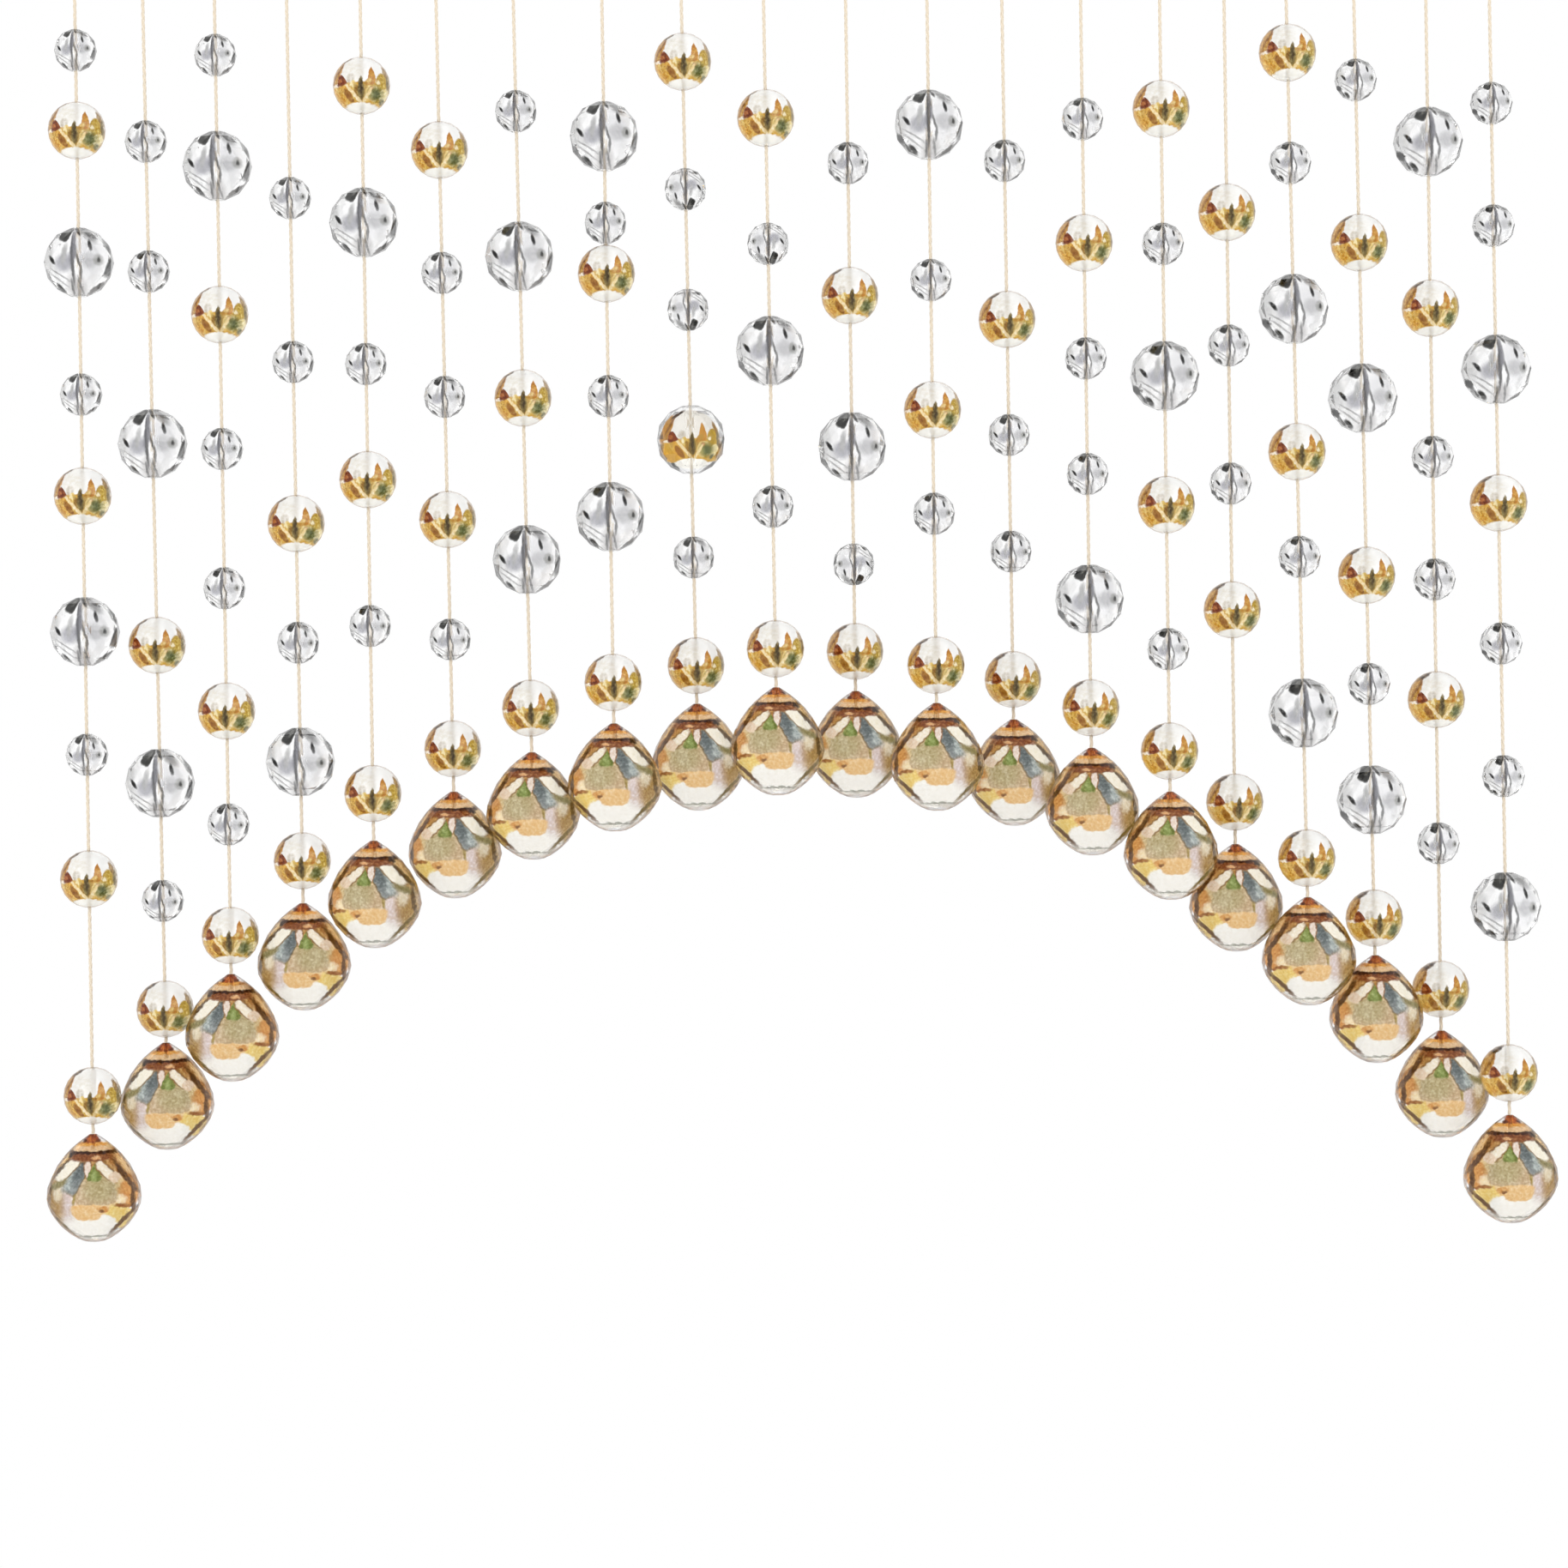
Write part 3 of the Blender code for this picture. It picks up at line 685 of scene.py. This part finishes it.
def skin_group():
    """A node group whose mask is 1 on the outside of a bead and 0 on the wall of its hole."""
    name = "Outer skin"
    if name in bpy.data.node_groups:
        return bpy.data.node_groups[name]
    tree, given, out = new_group(name, (("Place", "Vector"), ("Hole", "Float")), ("Mask", "Float"))
    parts = add_node(tree, "SeparateXYZ", {"Vector": given["Place"]})
    level = add_node(tree, "CombineXYZ", {"X": parts["X"], "Y": parts["Y"]})
    reach = add_node(tree, "VectorMath", {0: level["Vector"]}, operation="LENGTH")
    outside = add_node(tree, "Math", {0: reach["Value"], 1: given["Hole"]},
                       operation="GREATER_THAN")
    feed(tree, out["Mask"], outside["Value"])
    return tree


def mix_colours(tree, factor, first, second):
    """Mixes two colours. Each argument is a socket or a value."""
    return add_node(tree, "Mix", {0: factor, 6: first, 7: second}, data_type="RGBA")[2]


def draw_marks(tree, place, colour, marks, blur):
    """Lays the marks of a table over a colour, in order, with edges as soft as blur."""
    for row in marks:
        mark = dict(zip(MARK_COLUMNS, row))
        corners = "square" if mark["edge"] == "square" else "round"
        power = 4 if corners == "square" else 2
        soft = SOFTEST
        if mark["edge"] != "soft":
            soft = min(SOFTEST, blur / min(mark["half_width"], mark["half_height"]))
        shown = add_node(tree, "Group", {
            "Place": place,
            "Centre": (mark["x"], 0, mark["z"]),
            "Half Size": (mark["half_width"], 1, mark["half_height"]),
            "Turn": (0, -math.radians(mark["turn"]), 0),
            "Top Width": max(LEAST_TOP_WIDTH, 1 - mark["taper"]),
            "Inner": (1 - soft) ** power,
            "Outer": (1 + soft) ** power,
        }, node_tree=mark_group(corners), label=mark["name"])
        colour = mix_colours(tree, shown["Mask"], colour, (*linear(mark["colour"]), 1))
    return colour


def new_material(name):
    material = bpy.data.materials.new(name)
    material.use_nodes = True
    return material, material.node_tree, material.node_tree.nodes["Principled BSDF"]


def glass(name, body, layers, finish):
    """Cut glass whose facets show the marks of its layers, each (marks, share of the bead): painted
    light and shade that stand in for what the glass bends and reflects, over the tint of gold and
    champagne glass.

    finish is a row of GLASS_FINISH. Light is tinted once, where it enters: a face seen from inside
    the glass is clear.
    """
    if name in bpy.data.materials:
        return bpy.data.materials[name]
    look = dict(zip(FINISH_COLUMNS, GLASS_FINISH[finish]))
    material, tree, shader = new_material(name)
    own = add_node(tree, "Attribute", {}, attribute_name="cut_place")["Vector"]
    ragged = add_node(tree, "Group", {
        "Place": own, "Scale": look["ragged_scale"], "Amount": look["ragged"]},
        node_tree=place_group())
    colour = (*body, 1)
    for marks, share in layers:
        place = add_node(tree, "VectorMath", {0: ragged["Place"], "Scale": 1 / share},
                         operation="SCALE")
        colour = draw_marks(tree, place["Vector"], colour, marks, look["blur"])
    # Painted shade at the outline: the colour darkens towards the rim colour as a face turns edge on
    edge = add_node(tree, "LayerWeight", {})
    rim = add_node(tree, "MapRange", {
        "Value": edge["Facing"], "From Min": look["rim_from"], "From Max": look["rim_to"]},
        interpolation_type="SMOOTHSTEP")
    colour = mix_colours(tree, rim["Result"], colour, (*linear(look["rim"]), 1))
    flecks = add_node(tree, "Group", {
        "Place": own, "Colour": colour, "Scale": look["fleck_scale"],
        "Thinnest": look["thinnest"], "Thickest": look["thickest"]}, node_tree=fleck_group())
    skin = add_node(tree, "Group", {"Place": own, "Hole": look["hole"]}, node_tree=skin_group())
    tint = mix_colours(tree, skin["Mask"], WHITE, flecks["Colour"])
    side = add_node(tree, "NewGeometry", {})
    entering = mix_colours(tree, side["Backfacing"], tint, WHITE)
    tree.links.new(entering, shader.inputs["Base Color"])
    shader.inputs["Transmission Weight"].default_value = look["clearness"]
    shader.inputs["Roughness"].default_value = look["roughness"]
    shader.inputs["IOR"].default_value = look["ior"]
    shader.inputs["Coat Weight"].default_value = 0.3
    shader.inputs["Coat Roughness"].default_value = 0.02
    return material


def clear_glass():
    return glass("cut_clear_glass", colours().clear, [(CLEAR_PAINTED_SHADE_AND_LIGHT, 1.0)], "clear")


def gold_glass():
    return glass("polished_gold_glass", colours().gold, [(GOLD_COATING_AND_PAINTED_LIGHT, 1.0)], "gold")


def from_middle(mark):
    """How far the middle of a mark lies from the middle of its bead."""
    named = dict(zip(MARK_COLUMNS, mark))
    return math.hypot(named["x"], named["z"])


def heart_glass():
    """Clear glass with a gold heart, for the one large bead that has it."""
    seen = tuple(mark for mark in CLEAR_PAINTED_SHADE_AND_LIGHT if from_middle(mark) > HEART_SHARE)
    layers = [(seen, 1.0), (HEART_GROUND + GOLD_COATING_AND_PAINTED_LIGHT, HEART_SHARE)]
    return glass("cut_glass_with_gold_heart", colours().clear, layers, "clear")


def drop_glass():
    return glass("cut_champagne_glass", colours().drop, [(DROP_TINT_AND_PAINTED_LIGHT, 1.0)], "drop")


def shaded(colour, share):
    """A colour as a full one, darkened to a share of its light."""
    return (*[part * share for part in colour], 1)


def cord_material():
    """Pale fibres with fine, slightly darker ones among them."""
    name = "laid_cord"
    if name in bpy.data.materials:
        return bpy.data.materials[name]
    material, tree, shader = new_material(name)
    where = add_node(tree, "TexCoord", {})
    fibres = add_node(tree, "TexNoise", {"Vector": where["Object"], "Scale": 900.0})
    colour = mix_colours(tree, fibres["Fac"], shaded(colours().cord, 1),
                         shaded(colours().cord, CORD_SHADE))
    bump = add_node(tree, "Bump", {"Height": fibres["Fac"], "Strength": 0.4, "Distance": 0.2 * MM})
    tree.links.new(colour, shader.inputs["Base Color"])
    tree.links.new(bump["Normal"], shader.inputs["Normal"])
    shader.inputs["Roughness"].default_value = 0.7
    shader.inputs["Sheen Weight"].default_value = 0.2
    return material


def tape_material():
    """A plain weave: two crossed waves, one for each way of the threads, with painted shade where the
    weave sinks between them.
    """
    name = "woven_tape"
    if name in bpy.data.materials:
        return bpy.data.materials[name]
    material, tree, shader = new_material(name)
    where = add_node(tree, "TexCoord", {})
    waves = []
    for axis in ("X", "Z"):
        wave = add_node(tree, "TexWave", {
            "Vector": where["Object"], "Scale": 1 / TAPE_THREAD / BANDS_PER_UNIT,
            "Distortion": 0.6}, bands_direction=axis)
        waves.append(wave["Fac"])
    weave = add_node(tree, "Math", {0: waves[0], 1: waves[1]}, operation="MULTIPLY")
    # Painted shade: the tape darkens to TAPE_SHADE of its colour between the threads
    colour = mix_colours(tree, weave["Value"], shaded(colours().tape, TAPE_SHADE),
                         shaded(colours().tape, 1))
    bump = add_node(tree, "Bump", {"Height": weave["Value"], "Strength": 0.6, "Distance": 0.3 * MM})
    tree.links.new(colour, shader.inputs["Base Color"])
    tree.links.new(bump["Normal"], shader.inputs["Normal"])
    shader.inputs["Roughness"].default_value = 0.85
    shader.inputs["Sheen Weight"].default_value = 0.2
    return material


# Operators, one for each piece or group of like pieces

class AddHeadingTape(bpy.types.Operator):
    """Add the woven heading tape with its stitches"""
    bl_idname = "curtain.heading_tape"
    bl_label = "Heading tape"

    def execute(self, context):
        thick = sizes().tape_thickness
        bm = bmesh.new()
        middle = Matrix.Translation((0, 0, -TAPE_HEIGHT / 2))
        size = Matrix.Diagonal((TAPE_LENGTH, thick, TAPE_HEIGHT, 1))
        bmesh.ops.create_cube(bm, size=1, matrix=middle @ size)
        bmesh.ops.bevel(bm, geom=bm.edges, offset=TAPE_ROUNDING * thick, offset_type="OFFSET",
                        segments=2, profile=0.5, material=-1, affect="EDGES")
        mesh = to_mesh(bm, "heading_tape", smooth=True)
        tape = add_piece("heading_tape", mesh, tape_material())
        swell = add_piece("root_swellings", root_swellings(), tape_material())
        sewing = add_piece("tape_stitches", tape_stitches(), cord_material())
        return {"FINISHED"}


class AddCords(bpy.types.Operator):
    """Add the twenty laid cords that carry the beads"""
    bl_idname = "curtain.cords"
    bl_label = "Cords"

    def execute(self, context):
        turn = cord_turn()
        placed = []
        for strand in strand_rows():
            place, stretch = hang(strand)
            length = strand["tip"] * MM * stretch + ROOT_IN_TAPE + PIN_LENGTH
            turns = round(length / sizes().cord_lay)
            lay = length / turns
            for number in range(turns):
                start = Matrix.Translation((0, 0, ROOT_IN_TAPE - number * lay))
                placed.append((turn, place @ start @ Matrix.Diagonal((1, 1, lay, 1))))
        bm = join_copies(placed)
        bmesh.ops.remove_doubles(bm, verts=bm.verts, dist=WELD)
        bmesh.ops.holes_fill(bm, edges=bm.edges, sides=PLY_SIDES)
        bmesh.ops.recalc_face_normals(bm, faces=bm.faces)
        mesh = to_mesh(bm, "cord_strings", smooth=True)
        add_piece("cord_strings", mesh, cord_material(), ["stringing"])
        return {"FINISHED"}


class AddSmallBeads(bpy.types.Operator):
    """Add the small clear beads as one joined mesh"""
    bl_idname = "curtain.small_beads"
    bl_label = "Small clear beads"

    def execute(self, context):
        bead = clear_bead(sizes().small_radius)
        upside_down = Matrix.Rotation(math.pi, 4, "Y")
        placed = [(bead, seat @ upside_down if letter == "s" else seat)
                  for seat, letter in seats("Ss")]
        mesh = to_mesh(join_copies(placed), "small_clear_beads")
        add_piece("small_clear_beads", mesh, clear_glass())
        return {"FINISHED"}


class AddGoldBeads(bpy.types.Operator):
    """Add the gold beads as one joined mesh"""
    bl_idname = "curtain.gold_beads"
    bl_label = "Gold beads"

    def execute(self, context):
        bead = gold_bead(sizes().gold_radius)
        placed = [(bead, seat) for seat, _ in seats("G")]
        mesh = to_mesh(join_copies(placed), "gold_beads", smooth=True)
        add_piece("gold_beads", mesh, gold_glass())
        return {"FINISHED"}


class AddLargeBeads(bpy.types.Operator):
    """Add the large clear beads, one piece for each"""
    bl_idname = "curtain.large_beads"
    bl_label = "Large clear beads"

    def execute(self, context):
        bead = clear_bead(sizes().large_radius)
        for number, (seat, letter) in enumerate(seats("Ll"), start=1):
            mesh = bead.copy()
            mesh.transform(seat)
            material = heart_glass() if letter == "l" else clear_glass()
            add_piece(f"clear_bead_{number:02d}", mesh, material,
                      [f"large_bead_{number:02d}"])
        return {"FINISHED"}


class AddDrops(bpy.types.Operator):
    """Add the champagne drops, one at the foot of each cord"""
    bl_idname = "curtain.drops"
    bl_label = "Drops"

    def execute(self, context):
        drop = cut_drop()
        half_turn = Matrix.Rotation(math.pi, 4, "Z")
        for number, strand in enumerate(strand_rows(), start=1):
            place, stretch = hang(strand)
            seat = place @ Matrix.Translation((0, 0, -strand["tip"] * MM * stretch))
            if number <= DROPS_FROM_BEHIND:
                seat = seat @ half_turn
            mesh = drop.copy()
            mesh.transform(seat)
            add_piece(f"drop_{number:02d}", mesh, drop_glass(),
                      [f"pendant_{number:02d}"])
        return {"FINISHED"}


class AddStage(bpy.types.Operator):
    """Add the floor, the lamps, the studio's walls and the camera"""
    bl_idname = "curtain.stage"
    bl_label = "Stage"

    def execute(self, context):
        stage = context.scene.curtain_stage
        add_floor(stage)
        add_studio()
        add_lamps(context.scene, stage)
        add_camera(context.scene, stage)
        context.scene.view_settings.view_transform = "Standard"
        return {"FINISHED"}


def add_floor(stage):
    bm = bmesh.new()
    bmesh.ops.create_grid(bm, x_segments=1, y_segments=1, size=FLOOR_HALF_WIDTH,
                          matrix=Matrix.Translation((0, -FLOOR_FORWARD, -stage.floor_depth)))
    material, tree, shader = new_material("pale_floor")
    where = add_node(tree, "TexCoord", {})
    grain = add_node(tree, "TexNoise", {"Vector": where["Object"], "Scale": 40.0})
    grained = mix_colours(tree, grain["Fac"], *FLOOR_COLOURS)
    tree.links.new(grained, shader.inputs["Base Color"])
    shader.inputs["Roughness"].default_value = 0.9
    mesh = to_mesh(bm, "floor")
    mesh.materials.append(material)
    floor = bpy.data.objects.new("floor", mesh)
    bpy.context.scene.collection.objects.link(floor)


def add_studio():
    """White for the camera, and for the glass to bend, pale panels with light grey gaps."""
    world = bpy.data.worlds.new("white_studio")
    bpy.context.scene.world = world
    world.use_nodes = True
    tree = world.node_tree
    tree.nodes.clear()
    where = add_node(tree, "TexCoord", {})
    parts = add_node(tree, "SeparateXYZ", {"Vector": where["Generated"]})
    turn = add_node(tree, "Math", {0: parts["Y"], 1: parts["X"]}, operation="ARCTAN2")
    panels = add_node(tree, "Math", {0: turn["Value"], 1: PANELS}, operation="MULTIPLY")
    wave = add_node(tree, "Math", {0: panels["Value"]}, operation="COSINE")
    level = add_node(tree, "MapRange", {
        "Value": wave["Value"], "From Min": -1.0, "From Max": GAP_END, "To Min": GAP_LEVEL,
        "To Max": 1.0}, interpolation_type="SMOOTHSTEP")
    room = add_node(tree, "Background", {"Color": level["Result"]})
    white = add_node(tree, "Background", {"Color": WHITE})
    path = add_node(tree, "LightPath", {})
    mix = add_node(tree, "MixShader", {
        "Fac": path["Is Camera Ray"], 1: room["Background"], 2: white["Background"]})
    add_node(tree, "OutputWorld", {"Surface": mix["Shader"]})


def add_lamps(scene, stage):
    """Two large soft lamps in front of the curtain, one on each side."""
    right, forward, up = LAMP_OFFSET
    for side in (-1, 1):
        data = bpy.data.lights.new("soft_lamp", "AREA")
        data.shape = "SQUARE"
        data.size = LAMP_SIZE
        data.energy = stage.lamp_power
        lamp = bpy.data.objects.new("soft_lamp", data)
        scene.collection.objects.link(lamp)
        place = CURTAIN_MIDDLE + Vector((side * right, -forward, up))
        aim = (CURTAIN_MIDDLE - place).to_track_quat("-Z", "Y").to_matrix().to_4x4()
        lamp.matrix_world = Matrix.Translation(place) @ aim


def add_camera(scene, stage):
    """Looks along +Y at the photograph's framing, rolled a little as the photograph is."""
    data = bpy.data.cameras.new("camera")
    data.lens = 100
    data.sensor_width = 36
    camera = bpy.data.objects.new("camera", data)
    scene.collection.objects.link(camera)
    x, z = CAMERA_AIM
    place = Matrix.Translation((x, -stage.camera_distance, z))
    level = Matrix.Rotation(math.pi / 2, 4, "X")
    camera.matrix_world = place @ level @ Matrix.Rotation(stage.camera_roll, 4, "Z")
    scene.camera = camera


class CurtainPanel(bpy.types.Panel):
    """The curtain's sizes, colours and pieces"""
    bl_idname = "VIEW3D_PT_curtain"
    bl_label = "Bead curtain"
    bl_space_type = "VIEW_3D"
    bl_region_type = "UI"
    bl_category = "Curtain"

    def draw(self, context):
        scene = context.scene
        for group in (scene.curtain_sizes, scene.curtain_colours, scene.curtain_stage):
            box = self.layout.box()
            for name in group.__annotations__:
                box.prop(group, name)
        for operator in PIECES:
            self.layout.operator(operator.bl_idname)


PIECES = (AddHeadingTape, AddCords, AddSmallBeads, AddGoldBeads, AddLargeBeads, AddDrops, AddStage)
CLASSES = (CurtainSizes, CurtainColours, StageSettings, *PIECES, CurtainPanel)


def register():
    for cls in CLASSES:
        bpy.utils.register_class(cls)
    bpy.types.Scene.curtain_sizes = PointerProperty(type=CurtainSizes)
    bpy.types.Scene.curtain_colours = PointerProperty(type=CurtainColours)
    bpy.types.Scene.curtain_stage = PointerProperty(type=StageSettings)


def unregister():
    del bpy.types.Scene.curtain_stage
    del bpy.types.Scene.curtain_colours
    del bpy.types.Scene.curtain_sizes
    for cls in reversed(CLASSES):
        bpy.utils.unregister_class(cls)


def main():
    register()
    bpy.ops.curtain.heading_tape()
    bpy.ops.curtain.cords()
    bpy.ops.curtain.small_beads()
    bpy.ops.curtain.gold_beads()
    bpy.ops.curtain.large_beads()
    bpy.ops.curtain.drops()
    bpy.ops.curtain.stage()


if __name__ == "__main__":
    main()
